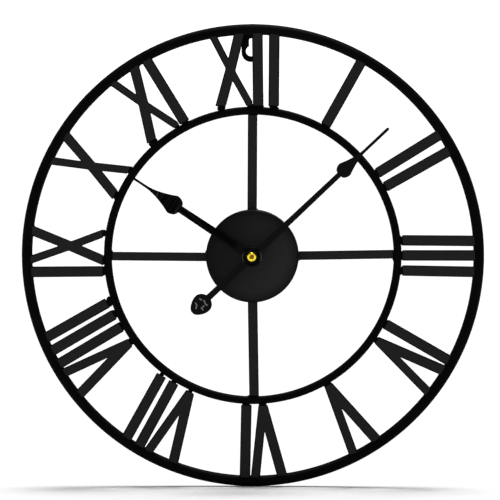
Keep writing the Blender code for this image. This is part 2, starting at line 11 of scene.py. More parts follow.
import bmesh
import bpy
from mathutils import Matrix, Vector


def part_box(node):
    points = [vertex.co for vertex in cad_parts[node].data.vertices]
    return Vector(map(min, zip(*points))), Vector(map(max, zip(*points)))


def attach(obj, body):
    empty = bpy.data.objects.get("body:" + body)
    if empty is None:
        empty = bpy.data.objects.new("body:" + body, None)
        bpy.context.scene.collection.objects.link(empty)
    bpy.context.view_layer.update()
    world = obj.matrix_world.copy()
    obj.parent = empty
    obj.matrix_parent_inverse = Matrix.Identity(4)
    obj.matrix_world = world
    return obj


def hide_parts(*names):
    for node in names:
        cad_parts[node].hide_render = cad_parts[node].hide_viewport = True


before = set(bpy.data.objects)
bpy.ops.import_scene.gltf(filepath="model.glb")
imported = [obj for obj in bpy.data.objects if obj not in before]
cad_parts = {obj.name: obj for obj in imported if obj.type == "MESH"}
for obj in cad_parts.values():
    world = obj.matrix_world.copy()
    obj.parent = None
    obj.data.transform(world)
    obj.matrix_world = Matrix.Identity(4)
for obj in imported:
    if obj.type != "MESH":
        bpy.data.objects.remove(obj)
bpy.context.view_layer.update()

# %% [markdown]
# ## Where things are
#
# The clock stands upright: X runs right, Z up, and forwards out of the wall is -Y. Sizes are written in
# millimetres. The outer hoop's box gives the dial's centre, its bar and its reach, so nothing is guessed.

# %% Measures from the model
MM = 0.001
TOUCHING = 0.002 * MM                  # vertices this close are one
UPRIGHT = (math.pi / 2, 0.0, 0.0)      # turns a flat primitive to face forwards

hoop_low, hoop_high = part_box("outer_ring")
CENTRE = Vector(((hoop_low.x + hoop_high.x) / 2, 0.0, (hoop_low.z + hoop_high.z) / 2))
floor_height = hoop_low.z


def dial_point(clock_angle, radius, forward):
    """A point by its angle from twelve in degrees, and its distances from the axis and the wall in mm."""
    angle = math.radians(clock_angle)
    across, up = radius * math.sin(angle), radius * math.cos(angle)
    return CENTRE + Vector((across, -forward, up)) * MM


def dial_place(point):
    """The clock angle in degrees and the radius in mm of a point."""
    across, up = (point.x - CENTRE.x) / MM, (point.z - CENTRE.z) / MM
    return math.degrees(math.atan2(across, up)) % 360.0, math.hypot(across, up)


print("centre of the dial:", tuple(round(value, 4) for value in CENTRE))

# %% [markdown]
# ## Working by hand, in code
#
# Everything below is done with the tools that a maker clicks on in Edit Mode. A tool acts on all that is
# selected, so the first helpers select one piece alone, open it for editing, and choose faces or edges by
# where they are or which way they face.

# %% Picking up a piece and choosing parts of it
def pick(piece):
    bpy.ops.object.select_all(action="DESELECT")
    piece.select_set(True)
    bpy.context.view_layer.objects.active = piece


def edit(piece):
    pick(piece)
    bpy.ops.object.mode_set(mode="EDIT")
    bpy.ops.mesh.select_mode(type="VERT")
    bpy.ops.mesh.select_all(action="DESELECT")


def leave():
    bpy.ops.object.mode_set(mode="OBJECT")


def settle(piece):
    """Put a piece's place, turn and size into its mesh, so that the object itself is at the origin."""
    pick(piece)
    bpy.ops.object.transform_apply(location=True, rotation=True, scale=True)


def choose(piece, kind, test):
    """In Edit Mode, select the verts, edges or faces that pass a test, and say how many."""
    bpy.ops.mesh.select_mode(type=kind)
    bpy.ops.mesh.select_all(action="DESELECT")
    mesh = bmesh.from_edit_mesh(piece.data)
    parts = {"VERT": mesh.verts, "EDGE": mesh.edges, "FACE": mesh.faces}[kind]
    chosen = [part for part in parts if test(part)]
    for part in chosen:
        part.select_set(True)
    bmesh.update_edit_mesh(piece.data)
    return len(chosen)


def apply_modifier(piece, kind, **settings):
    pick(piece)
    modifier = piece.modifiers.new(kind.lower(), kind)
    for name, value in settings.items():
        setattr(modifier, name, value)
    bpy.ops.object.modifier_apply(modifier=modifier.name)


# %% [markdown]
# A sharp edge never shows light, and no real edge is perfectly sharp. So most pieces end with a small
# bevel on every edge sharper than some angle, and with normals weighted by face size, which keeps the
# flats flat while the bevels shade round.

# %% Rounding edges
def soften(piece, width, segments=3, sharper_than=35.0):
    apply_modifier(
        piece,
        "BEVEL",
        width=width * MM,
        segments=segments,
        limit_method="ANGLE",
        angle_limit=math.radians(sharper_than),
        use_clamp_overlap=True,
        miter_outer="MITER_ARC",
    )
    pick(piece)
    bpy.ops.object.shade_smooth()
    apply_modifier(piece, "WEIGHTED_NORMAL", mode="FACE_AREA", weight=60, keep_sharp=True)


# %% [markdown]
# Where the model already has the right outline, the piece starts as a copy of it. The model's mesh is loose
# triangles, so the copy is welded into one skin, and triangles that lie in one plane become one face again.
# The model itself is left alone.

# %% Starting from the model's own outline
def copy_node(node, name):
    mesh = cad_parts[node].data.copy()
    piece = bpy.data.objects.new(name, mesh)
    mesh.name = name
    bpy.context.scene.collection.objects.link(piece)
    pick(piece)
    bpy.ops.mesh.customdata_custom_splitnormals_clear()
    edit(piece)
    bpy.ops.mesh.select_all(action="SELECT")
    bpy.ops.mesh.remove_doubles(threshold=TOUCHING)
    bpy.ops.mesh.dissolve_limited(angle_limit=math.radians(1.0))
    leave()
    return piece


# %% [markdown]
# A turned piece is drawn as on a lathe: a circle is extruded ring by ring through a list of stations, each
# a radius and a distance forwards of the wall. Ending on the first station closes the profile on itself.

# %% Lathe work
def turn(name, stations, segments=96, centre=CENTRE):
    radius, place = stations[0]
    bpy.ops.object.select_all(action="DESELECT")
    start = (centre.x, -place * MM, centre.z)
    bpy.ops.mesh.primitive_circle_add(vertices=segments, radius=radius * MM, location=start, rotation=UPRIGHT)
    piece = bpy.context.object
    piece.name = piece.data.name = name
    settle(piece)
    edit(piece)
    bpy.ops.mesh.select_all(action="SELECT")
    for next_radius, next_place in stations[1:]:
        step = (0.0, (place - next_place) * MM, 0.0)
        bpy.ops.mesh.extrude_edges_move(TRANSFORM_OT_translate={"value": step})
        share = next_radius / radius
        middle = (centre.x, -next_place * MM, centre.z)
        bpy.ops.transform.resize(value=(share, 1.0, share), center_override=middle)
        radius, place = next_radius, next_place
    bpy.ops.mesh.select_all(action="SELECT")
    bpy.ops.mesh.remove_doubles(threshold=TOUCHING)
    if stations[-1] != stations[0]:
        bpy.ops.mesh.select_all(action="DESELECT")
        bpy.ops.mesh.select_non_manifold()
        bpy.ops.mesh.fill_holes(sides=0)
    bpy.ops.mesh.select_all(action="SELECT")
    bpy.ops.mesh.normals_make_consistent(inside=False)
    leave()
    return piece


def smooth(piece, sharper_than=35.0):
    pick(piece)
    bpy.ops.object.shade_smooth_by_angle(angle=math.radians(sharper_than))


def arc(radius, first, last, count, centre):
    """Stations round a corner: angles in degrees, 0 outwards from the axis and 90 forwards."""
    turns = [math.radians(first + (last - first) * step / count) for step in range(count + 1)]
    return [(centre[0] + radius * math.cos(t), centre[1] + radius * math.sin(t)) for t in turns]


# %% [markdown]
# A blade, such as a hand, is a thin box whose end face is extruded along the hand and made wider or
# narrower at each station. Pieces that are welded into one are joined with a boolean union, so that the
# finished skin has no walls inside it.

# %% Blades and joining
def draw_out(name, stations, back, front):
    """A blade that points at twelve: stations are (half width, height above the dial's centre) in mm."""
    (half, low), (next_half, high) = stations[:2]
    middle = CENTRE + Vector((0.0, -(back + front) / 2, (low + high) / 2)) * MM
    size = (2 * half * MM, (front - back) * MM, (high - low) * MM)
    bpy.ops.object.select_all(action="DESELECT")
    bpy.ops.mesh.primitive_cube_add(size=1.0, location=middle, scale=size)
    piece = bpy.context.object
    piece.name = piece.data.name = name
    settle(piece)
    edit(piece)
    choose(piece, "FACE", lambda face: face.normal.z > 0.9)
    bpy.ops.transform.resize(value=(next_half / half, 1.0, 1.0), center_override=middle)
    for wider, further in stations[2:]:
        step = (0.0, 0.0, (further - high) * MM)
        bpy.ops.mesh.extrude_region_move(TRANSFORM_OT_translate={"value": step})
        bpy.ops.transform.resize(value=(wider / next_half, 1.0, 1.0), center_override=middle)
        next_half, high = wider, further
    leave()
    return piece


def unite(piece, *others):
    for other in others:
        apply_modifier(piece, "BOOLEAN", operation="UNION", object=other, solver="EXACT")
        bpy.data.objects.remove(other)
    return piece


def cut(piece, *tools):
    for tool in tools:
        apply_modifier(piece, "BOOLEAN", operation="DIFFERENCE", object=tool, solver="EXACT")
        bpy.data.objects.remove(tool)
    return piece


def join(name, pieces):
    """Gather pieces into one object, without changing their shapes."""
    pick(pieces[0])
    for piece in pieces[1:]:
        piece.select_set(True)
    bpy.ops.object.join()
    made = bpy.context.object
    made.name = made.data.name = name
    return made


def turn_clockwise(piece, degrees):
    """Turn a piece about the dial's axis, as seen from the front, and put the turn into its mesh."""
    if degrees:
        edit(piece)
        bpy.ops.mesh.select_all(action="SELECT")
        bpy.ops.transform.rotate(
            value=-math.radians(degrees), orient_axis="Y", center_override=tuple(CENTRE), orient_type="GLOBAL"
        )
        leave()


# %% [markdown]
# ## Finishes
#
# A finish is a node tree. Writing it as plain arithmetic keeps it readable: a Socket holds one output, and
# adding or multiplying it adds the Math node. A Finish holds the material and makes every other node.

# %% Shader arithmetic
class Socket:
    """One output in a node tree, which can be used in arithmetic."""

    def __init__(self, tree, output):
        self.tree = tree
        self.output = output

    def maths(self, operation, *values):
        return self.tree.node("ShaderNodeMath", {"operation": operation}, dict(enumerate(values)))

    def __add__(self, other):
        return self.maths("ADD", self, other)

    def __radd__(self, other):
        return self.maths("ADD", other, self)

    def __sub__(self, other):
        return self.maths("SUBTRACT", self, other)

    def __rsub__(self, other):
        return self.maths("SUBTRACT", other, self)

    def __mul__(self, other):
        return self.maths("MULTIPLY", self, other)

    def __rmul__(self, other):
        return self.maths("MULTIPLY", other, self)

    def __truediv__(self, other):
        return self.maths("DIVIDE", self, other)

    def __pow__(self, other):
        return self.maths("POWER", self, other)

    def __abs__(self):
        return self.maths("ABSOLUTE", self)

    def between(self, low, high):
        """0 below low, 1 above high, and a smooth rise from one to the other."""
        sockets = {"Value": self, "From Min": low, "From Max": high}
        return self.tree.node("ShaderNodeMapRange", {"interpolation_type": "SMOOTHSTEP"}, sockets)

    def lower(self, other):
        return self.maths("MINIMUM", self, other)

    def higher(self, other):
        return self.maths("MAXIMUM", self, other)


class Tree:
    """A node tree, of a material or of the room's light."""

    def __init__(self, graph):
        self.graph = graph

    def feed(self, node, sockets):
        for key, value in sockets.items():
            if isinstance(value, Socket):
                self.graph.links.new(value.output, node.inputs[key])
            else:
                node.inputs[key].default_value = value

    def node(self, kind, settings=None, sockets=None, output=0):
        """Add a node: its type, then its settings, then the values or links of its sockets."""
        made = self.graph.nodes.new(kind)
        for key, value in (settings or {}).items():
            setattr(made, key, value)
        self.feed(made, sockets or {})
        return Socket(self, made.outputs[output])

    def axis(self, vector, name):
        """One of the X, Y and Z of a vector."""
        return self.node("ShaderNodeSeparateXYZ", sockets={"Vector": vector}, output=name)


class Finish(Tree):
    """A material and the nodes that feed its shader."""

    def __init__(self, name, colour, roughness, metallic=0.0, gloss=0.5):
        self.material = bpy.data.materials.new(name)
        self.material.use_nodes = True
        super().__init__(self.material.node_tree)
        self.shader = self.graph.nodes["Principled BSDF"]
        look = {"Base Color": (*colour, 1.0), "Roughness": roughness, "Metallic": metallic}
        self.feed(self.shader, {**look, "Specular IOR Level": gloss})

    def place(self):
        return self.node("ShaderNodeTexCoord", output="Object")

    def from_axis(self):
        """How far the surface is to the right of the dial's axis, above it, and from it, in mm."""
        right = (self.axis(self.place(), "X") - CENTRE.x) / MM
        up = (self.axis(self.place(), "Z") - CENTRE.z) / MM
        return right, up, (right * right + up * up) ** 0.5

    def noise(self, scale, detail=2.0, stretch=(1.0, 1.0, 1.0)):
        """Noise from 0 to 1 on object coordinates: scale is in features for each metre."""
        moved = self.node("ShaderNodeMapping", sockets={"Vector": self.place(), "Scale": stretch})
        sockets = {"Vector": moved, "Scale": scale, "Detail": detail}
        return self.node("ShaderNodeTexNoise", sockets=sockets, output="Fac")

    def facing(self, direction):
        """How squarely the surface faces a fixed direction, 1 straight on, whichever side."""
        normal = self.node("ShaderNodeNewGeometry", output="Normal")
        sockets = {0: normal, 1: direction}
        return abs(self.node("ShaderNodeVectorMath", {"operation": "DOT_PRODUCT"}, sockets, "Value"))

    def between_colours(self, first, second, share):
        ends = {0: share, 6: self.paint(first), 7: self.paint(second)}
        return self.node("ShaderNodeMix", {"data_type": "RGBA"}, ends, output=2)

    def paint(self, colour):
        """A colour or a socket, as a colour socket takes it."""
        return colour if isinstance(colour, Socket) else (*colour, 1.0)

    def relief(self, height, depth, strength=1.0):
        """Bump from a height of 0 to 1 that stands for so many millimetres."""
        sockets = {"Height": height, "Distance": depth * MM, "Strength": strength}
        self.feed(self.shader, {"Normal": self.node("ShaderNodeBump", sockets=sockets)})


def grey(value):
    return (value, value, value)


# %% [markdown]
# ### Black powder coat
#
# The hoops, welds and hanger are sprayed with black powder and baked. It is nearly black, with a fine
# orange-peel skin and hardly any shine, so the surface is a low-gloss shader with a small bump.

# %% Paint on the frame
PEEL_SCALE = 1400.0     # orange peel, in features for each metre


def powder_coat(name, tone, gloss, roughness):
    finish = Finish(name, grey(tone), roughness, gloss=gloss)
    peel = finish.noise(PEEL_SCALE, 2.0)
    patches = finish.noise(35.0, 3.0)
    tones = finish.between_colours(grey(tone * 0.75), grey(tone * 1.35), patches.between(0.35, 0.65))
    finish.feed(finish.shader, {"Base Color": tones, "Roughness": roughness + 0.12 * (peel - 0.5)})
    finish.relief(peel, 0.03, 0.6)
    return finish.material


frame_paint = powder_coat("frame_powder_coat", 0.0016, 0.018, 0.6)
print("finish:", frame_paint.name)

# %% [markdown]
# ### Satin strip
#
# The numerals and spokes are flat steel strip in satin black paint. Light and shade are painted into its
# colour: faces square to the dial are painted a lit dark grey, and the rounded edges are painted the black of
# shade. The mask asks how squarely the surface faces out of the dial, which is the same from every side that
# one looks from.

# %% Paint on the flat strip
OUT_OF_DIAL = (0.0, 1.0, 0.0)


def lit_face_paint(name, lit_face_tone, shaded_edge_tone, gloss, roughness=0.5):
    finish = Finish(name, grey(lit_face_tone), roughness, gloss=gloss)
    peel = finish.noise(PEEL_SCALE, 2.0)
    patches = finish.noise(60.0, 3.0)
    # Painted light and shade: lit grey on faces square to the dial, shaded black on all others.
    flat = finish.facing(OUT_OF_DIAL).between(0.985, 0.9995)
    tones = finish.between_colours(grey(lit_face_tone * 0.93), grey(lit_face_tone * 1.07), patches)
    finish.feed(finish.shader, {"Base Color": finish.between_colours(grey(shaded_edge_tone), tones, flat)})
    finish.feed(finish.shader, {"Roughness": roughness + 0.15 * (peel - 0.5)})
    finish.relief(peel, 0.02, 0.5)
    return finish


# The strips take the painted lit faces and the painted shaded edges.
strip_paint = lit_face_paint("strip_satin_painted_lit_faces", 0.0142, 0.0009, 0.030).material
print("finish:", strip_paint.name)

# %% [markdown]
# ### Hub and hands
#
# The dish is pressed sheet under the same powder. Its colour carries painted light and shade: a painted sheen
# towards the lower right, painted shade towards its rim, and black painted shade where it turns away from the
# front. The hands are thinner stamped plates in a blacker lacquer, with the same painted lit faces and shaded
# edges as the strip, and the minute hand's tail has a few short light marks.

# %% Paint on the hub and the hands
def hub_finish():
    finish = Finish("hub_satin_black", grey(0.010), 0.5, gloss=0.034)
    right, up, radius = finish.from_axis()
    # Painted sheen: lighter towards the lower right, as if lit from there.
    painted_sheen = (22.0 + 0.42 * right - 0.16 * up).between(-4.0, 46.0)
    tones = finish.between_colours(grey(0.0046), grey(0.0195), painted_sheen)
    # Painted shade: darker towards the rim.
    rim = radius.between(29.0, 40.0)
    shaded = finish.between_colours(tones, grey(0.0040), rim * 0.75)
    # Painted shade: black where the dish turns away from the front.
    face = finish.facing(OUT_OF_DIAL).between(0.80, 0.97)
    peel = finish.noise(PEEL_SCALE, 2.0)
    finish.feed(finish.shader, {"Base Color": finish.between_colours(grey(0.0014), shaded, face)})
    finish.feed(finish.shader, {"Roughness": 0.45 + 0.15 * (peel - 0.5)})
    finish.relief(peel, 0.02, 0.5)
    return finish.material


def rub(finish, marks, half_width):
    """1 on short straight marks, each (right, up, right, up) of its two ends in mm, and 0 between them."""
    right, up, _ = finish.from_axis()
    nearest = None
    for start_right, start_up, end_right, end_up in marks:
        long = math.hypot(end_right - start_right, end_up - start_up)
        lean_right, lean_up = (end_right - start_right) / long, (end_up - start_up) / long
        from_right, from_up = right - start_right, up - start_up
        along = from_right * lean_right + from_up * lean_up
        past = along - along.higher(0.0).lower(long)
        aside = from_right * lean_up - from_up * lean_right
        distance = (past * past + aside * aside) ** 0.5
        nearest = nearest.lower(distance) if nearest else distance
    return 1.0 - nearest.between(half_width * 0.4, half_width)


hub_paint = hub_finish()
# The hands take the same painted lit faces and painted shaded edges.
hand_paint = lit_face_paint("hand_lacquer", 0.0036, 0.0007, 0.024, 0.42).material
print("finishes:", hub_paint.name, hand_paint.name)

# %% [markdown]
# The light marks on the tail, and a painted glint on the left and right sides of the collar round the eye,
# belong to the minute hand alone.
# They are given on the hand as it points at twelve and turned with it, so its angle is read first.

# %% Marks and a painted glint on the minute hand
def tip_angle(node):
    """The clock angle of the point of a hand."""
    return dial_place(max(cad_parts[node].data.vertices, key=lambda v: dial_place(v.co)[1]).co)[0]


MINUTE_ANGLE = tip_angle("minute_hand")
TAIL_MARKS = [
    (-4.6, -57.4, -2.6, -56.9), (-0.9, -55.7, 2.0, -56.7), (2.5, -56.9, 4.0, -56.5),
    (2.4, -60.5, 2.6, -59.0), (2.3, -61.7, 4.4, -61.9), (-4.1, -62.6, -2.4, -62.8),
    (-2.2, -63.0, -0.5, -65.4),
]


def turned_mark(mark, degrees):
    """A mark turned clockwise about the axis with its hand."""
    across, along = math.cos(math.radians(degrees)), math.sin(math.radians(degrees))
    ends = []
    for right, up in (mark[:2], mark[2:]):
        ends += [right * across + up * along, up * across - right * along]
    return ends


def minute_lacquer():
    finish = lit_face_paint("marked_hand_lacquer_painted_glint", 0.0044, 0.0007, 0.024, 0.42)
    lacquer = Socket(finish, finish.shader.inputs["Base Color"].links[0].from_socket)
    marks = rub(finish, [turned_mark(mark, MINUTE_ANGLE) for mark in TAIL_MARKS], 0.75)
    right, up, radius = finish.from_axis()
    # Painted glint: the collar's edge is painted lighter on its left and right sides only.
    sides = abs(right).between(6.4, 7.8)
    collar = radius.between(7.5, 7.9) * sides * (1.0 - radius.between(8.4, 8.6))
    marks_and_painted_glint = (marks * 0.85).higher(collar * 0.30)
    finish.feed(finish.shader, {"Base Color": finish.between_colours(lacquer, grey(0.20), marks_and_painted_glint)})
    return finish.material


minute_paint = minute_lacquer()
print("finish:", minute_paint.name, "for a hand at", round(MINUTE_ANGLE, 1), "degrees")

# %% [markdown]
# ### Metals, plastics and the rest
#
# The nuts and the washer are polished brass and the arbor is worn brass. The contacts and the motor are plain
# steel, the case is moulded black plastic with a spark-eroded grain, and the wheels inside are white acetal.
# Each has its own small variation in colour and roughness.

# %% Metals and plastics
def metal(name, dark, light, roughness, grain=(1.0, 1.0, 1.0), scale=400.0):
    finish = Finish(name, light, roughness, metallic=1.0)
    brushed = finish.noise(scale, 4.0, grain)
    tones = finish.between_colours(dark, light, brushed.between(0.25, 0.6))
    finish.feed(finish.shader, {"Base Color": tones})
    finish.feed(finish.shader, {"Roughness": roughness + 0.2 * (brushed - 0.5)})
    finish.relief(brushed, 0.01, 0.4)
    return finish.material


def plastic(name, tone, roughness, gloss, grain=900.0, depth=0.02):
    finish = Finish(name, tone, roughness, gloss=gloss)
    texture = finish.noise(grain, 3.0)
    darker = tuple(value * 0.8 for value in tone)
    tones = finish.between_colours(darker, tone, texture.between(0.2, 0.7))
    finish.feed(finish.shader, {"Base Color": tones})
    finish.feed(finish.shader, {"Roughness": roughness + 0.2 * (texture - 0.5)})
    finish.relief(texture, depth, 0.7)
    return finish.material


brass = metal("polished_brass", (0.74, 0.50, 0.02), (0.95, 0.74, 0.045), 0.22)
arbor_brass = metal("worn_brass", (0.10, 0.05, 0.008), (0.22, 0.12, 0.02), 0.4)
steel = metal("bright_steel", (0.42, 0.43, 0.45), (0.62, 0.63, 0.65), 0.3, (1.0, 1.0, 12.0))
copper = metal("enamelled_copper", (0.45, 0.16, 0.07), (0.72, 0.33, 0.15), 0.3, (1.0, 1.0, 30.0))
rubber = plastic("black_rubber", grey(0.015), 0.85, 0.3)
case_plastic = plastic("moulded_black_plastic", grey(0.020), 0.5, 0.35)
gear_plastic = plastic("white_acetal", (0.80, 0.78, 0.70), 0.4, 0.5, 300.0, 0.005)
board = plastic("green_circuit_board", (0.03, 0.20, 0.08), 0.45, 0.5, 500.0, 0.01)
print("metals and plastics: 8 finishes")

# %% [markdown]
# ## Finishing a piece
#
# Every piece gets a finish, rides on the body of the model that it belongs to, and stands in for the model's
# own nodes, which are then hidden.

# %% Handing a piece over
def finish_piece(piece, paint, body, slot, *nodes):
    piece.data.materials.clear()
    piece.data.materials.append(paint)
    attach(piece, body)
    if nodes:
        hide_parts(*nodes)
    triangles = sum(len(face.vertices) - 2 for face in piece.data.polygons)
    print(f"{piece.name}: {triangles} triangles, on {body}")
    return piece


# %% [markdown]
# ## The hoops
#
# Each hoop is round bar, rolled into a circle and butt-welded. A circle of the bar's size is spun round the
# dial's axis. The weld is ground nearly flush at the top, where the hanger covers it, so a short length
# there is swollen a little.

# %% Two hoops
BUTT_WELD = 5.2         # length of the swelling
BUTT_RISE = 0.12


def roll_hoop(name, node, steps, sides):
    low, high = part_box(node)
    bar = (high.y - low.y) / 2
    reach = (high.x - low.x) / 2 - bar
    axis_point = CENTRE + Vector((0.0, (low.y + high.y) / 2, 0.0))
    bpy.ops.object.select_all(action="DESELECT")
    start = axis_point + Vector((reach, 0.0, 0.0))
    bpy.ops.mesh.primitive_circle_add(vertices=sides, radius=bar, location=start)
    piece = bpy.context.object
    piece.name = piece.data.name = name
    settle(piece)
    edit(piece)
    bpy.ops.mesh.select_all(action="SELECT")
    bpy.ops.mesh.spin(steps=steps, angle=2 * math.pi, center=axis_point, axis=(0.0, 1.0, 0.0))
    bpy.ops.mesh.select_all(action="SELECT")
    bpy.ops.mesh.remove_doubles(threshold=TOUCHING)
    bpy.ops.mesh.normals_make_consistent(inside=False)
    half = BUTT_WELD / 2 * MM
    choose(piece, "VERT", lambda vert: abs(vert.co.x - CENTRE.x) < half and vert.co.z > CENTRE.z)
    bpy.ops.transform.shrink_fatten(value=BUTT_RISE * MM)
    leave()
    pick(piece)
    bpy.ops.object.shade_smooth()
    print(f"{name}: bar {2 * bar / MM:.1f} mm, {2 * (reach + bar) / MM:.1f} mm across")
    return piece


outer_hoop = roll_hoop("outer_hoop", "outer_ring", 288, 36)
finish_piece(outer_hoop, frame_paint, "frame", "frame_black", "outer_ring")
inner_hoop = roll_hoop("inner_hoop", "inner_ring", 224, 28)
finish_piece(inner_hoop, frame_paint, "frame", "frame_black", "inner_ring")

# %% [markdown]
# ## The numerals
#
# Each stroke is a strip whose cut edges are rounded. Its head runs up onto the outer hoop, where it is
# welded. The model leaves a hair's gap there, so the head's vertices are slid outwards into the bar before
# the edges are rounded, and the face then meets the bar on a clean curve.

# %% Strokes of the numerals
NUMERALS = "i ii iii iv v vi vii viii ix x xi xii".split()
HEAD_SLIDE = 2.6
STRIP_ROUNDING = 0.95

stroke_nodes = [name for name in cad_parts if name.startswith("numeral_")]
outer_bar = (hoop_high.y - hoop_low.y) / 2 / MM
bar_inside = (hoop_high.x - hoop_low.x) / 2 / MM - 2 * outer_bar


def stroke_angle(node):
    """The clock angle of the numeral that a node such as numeral_iv_v belongs to."""
    return (NUMERALS.index(node.split("_")[1]) + 1) * 30.0


def slide_heads(piece, by):
    """Move the vertices at the outer hoop outwards along their own radius."""
    mesh = piece.data
    for vert in mesh.vertices:
        clock_angle, radius = dial_place(vert.co)
        if radius > bar_inside - 1.5:
            vert.co = dial_point(clock_angle, radius + by, -vert.co.y / MM)


for node in stroke_nodes:
    stroke = copy_node(node, "strip_" + node.removeprefix("numeral_"))
    slide_heads(stroke, HEAD_SLIDE)
    soften(stroke, STRIP_ROUNDING, 4, 25.0)
    finish_piece(stroke, strip_paint, "frame", "numeral_grey", node)

# %% [markdown]
# ## The spokes
#
# Four straight strips from the hub to the inner hoop. Each starts as the model's strip. Its two ends are
# pulled 1.2 mm further, into the bar and against the hub's rim.

# %% Four spokes
SPOKE_STRETCH = 1.2


def lengthen(piece, clock_angle, by):
    """Pull both ends of a strip that lies along a radius further out and further in."""
    middle = sum(dial_place(vert.co)[1] for vert in piece.data.vertices) / len(piece.data.vertices)
    along = dial_point(clock_angle, 1.0, 0.0) - CENTRE
    for vert in piece.data.vertices:
        way = 1.0 if dial_place(vert.co)[1] > middle else -1.0
        vert.co += along * way * by


for side, clock_angle in (("top", 0.0), ("right", 90.0), ("bottom", 180.0), ("left", 270.0)):
    spoke = copy_node(f"spoke_{side}", f"spoke_strip_{side}")
    lengthen(spoke, clock_angle, SPOKE_STRETCH)
    soften(spoke, 0.9, 4)
    finish_piece(spoke, strip_paint, "frame", "numeral_grey", f"spoke_{side}")

# %% [markdown]
# ## Weld beads
#
# Every strip is tack-welded at its ends, and the beads are left as they set: small, lumpy and painted over.
# One bead is made from an icosphere that is roughened and smoothed, and each copy is stretched across the
# gap that it fills. The ends of the model's strips say where the beads go.

# %% One bead
def make_bead():
    bpy.ops.object.select_all(action="DESELECT")
    bpy.ops.mesh.primitive_ico_sphere_add(subdivisions=2, radius=1.0 * MM)
    bead = bpy.context.object
    bead.name = bead.data.name = "bead"
    edit(bead)
    bpy.ops.mesh.select_all(action="SELECT")
    bpy.ops.transform.vertex_random(offset=0.16 * MM, uniform=0.6, normal=0.4, seed=7)
    leave()
    apply_modifier(bead, "SUBSURF", levels=1, render_levels=1)
    return bead


bead = make_bead()
print("bead:", len(bead.data.polygons), "faces")


def lay_bead(clock_angle, radius, forward, half_along, half_out, half_deep, twist=0.0):
    """A copy of the bead: its half sizes along the hoop, out from the axis and forwards, in mm."""
    copy = bead.copy()
    copy.data = bead.data.copy()
    bpy.context.scene.collection.objects.link(copy)
    copy.scale = (half_along, half_deep, half_out)
    copy.rotation_euler = (0.0, math.radians(clock_angle + twist), 0.0)
    copy.location = dial_point(clock_angle, radius, forward)
    settle(copy)
    return copy


# %% [markdown]
# A strip's ends are found in the model: at the foot its corners share one height along the numeral's own
# axis, and at the head they share one radius. Sorted across the numeral, each pair is one end.

# %% The ends of the strips
def corners(node, clock_angle):
    """Corners of a strip's front outline, each as (across, height) along the numeral's axis."""
    angle = math.radians(clock_angle)
    seen = set()
    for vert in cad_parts[node].data.vertices:
        offset = (vert.co - CENTRE) / MM
        across = offset.x * math.cos(angle) - offset.z * math.sin(angle)
        height = offset.x * math.sin(angle) + offset.z * math.cos(angle)
        seen.add((round(across, 2), round(height, 2)))
    return sorted(seen)


def ends(points):
    """Middle and half width of each end, from a sorted list of corners taken two by two."""
    pairs = zip(points[::2], points[1::2])
    return [((a[0] + b[0]) / 2, (a[1] + b[1]) / 2, abs(b[0] - a[0]) / 2) for a, b in pairs]


feet, heads = [], []
for node in stroke_nodes:
    clock_angle = stroke_angle(node)
    points = corners(node, clock_angle)
    lowest = min(height for _, height in points)
    foot_points = [point for point in points if point[1] < lowest + 0.1]
    head_points = [point for point in points if math.hypot(*point) > bar_inside - 1.0]
    feet += [(clock_angle, *end) for end in ends(foot_points)]
    heads += [(clock_angle, *end) for end in ends(head_points)]
print(len(feet), "feet and", len(heads), "heads")

# %% [markdown]
# At a foot the bead bridges from the strip to the hoop: the hoop curves away from the outer strokes of a
# wide numeral, so their beads are longer. They are about as wide as the strip, except on the VII, which is
# held by narrow tacks. One long run joins the feet under the XII. At a head the bead makes a small fillet on
# both sides of the strip.

# %% Beads on both hoops
inner_low, inner_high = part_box("inner_ring")
inner_outside = (inner_high.x - inner_low.x) / 2 / MM
hoop_forward = outer_bar
FOOT_FORWARD, HEAD_FORWARD = 5.6, 5.4       # distances of the beads from the wall
WIDEST_BEAD = 5.0                           # half of it
FOOT_BITE = 1.4                             # how far a bead runs onto the strip and onto the hoop


def own_angle(clock_angle, across, height):
    """Clock angle and radius of a strip's end, from its place along its numeral's axis."""
    return clock_angle + math.degrees(math.atan2(across, height)), math.hypot(across, height)


SEVEN = 210.0
inner_beads, outer_beads = [], []
for number, (clock_angle, across, height, half) in enumerate(feet):
    angle, radius = own_angle(clock_angle, across, height)
    gap = radius - inner_outside
    wide = min(half, WIDEST_BEAD) * (0.98 + 0.10 * math.sin(number * 2.4))
    if clock_angle == SEVEN:
        wide *= 0.55
    reach = gap / 2 + FOOT_BITE
    twist = 12.0 * math.sin(number * 1.7)
    inner_beads.append(lay_bead(angle, inner_outside + gap / 2, FOOT_FORWARD, wide, reach, 1.6, twist))
for clock_angle, across, height, half in heads:
    angle, _ = own_angle(clock_angle, across, height)
    outer_beads.append(lay_bead(angle, bar_inside + 0.3, HEAD_FORWARD, half * 1.18, 1.3, 1.5))
long_run = lay_bead(1.0, inner_outside + 0.5, FOOT_FORWARD, 7.6, 2.1, 1.6)
inner_beads.append(long_run)
inner_welds = join("inner_hoop_welds", inner_beads)
outer_welds = join("outer_hoop_welds", outer_beads)

# %% [markdown]
# The spokes are welded the same way, at the hub and at the inner hoop, and two longer beads hold the hanger
# under the outer hoop.

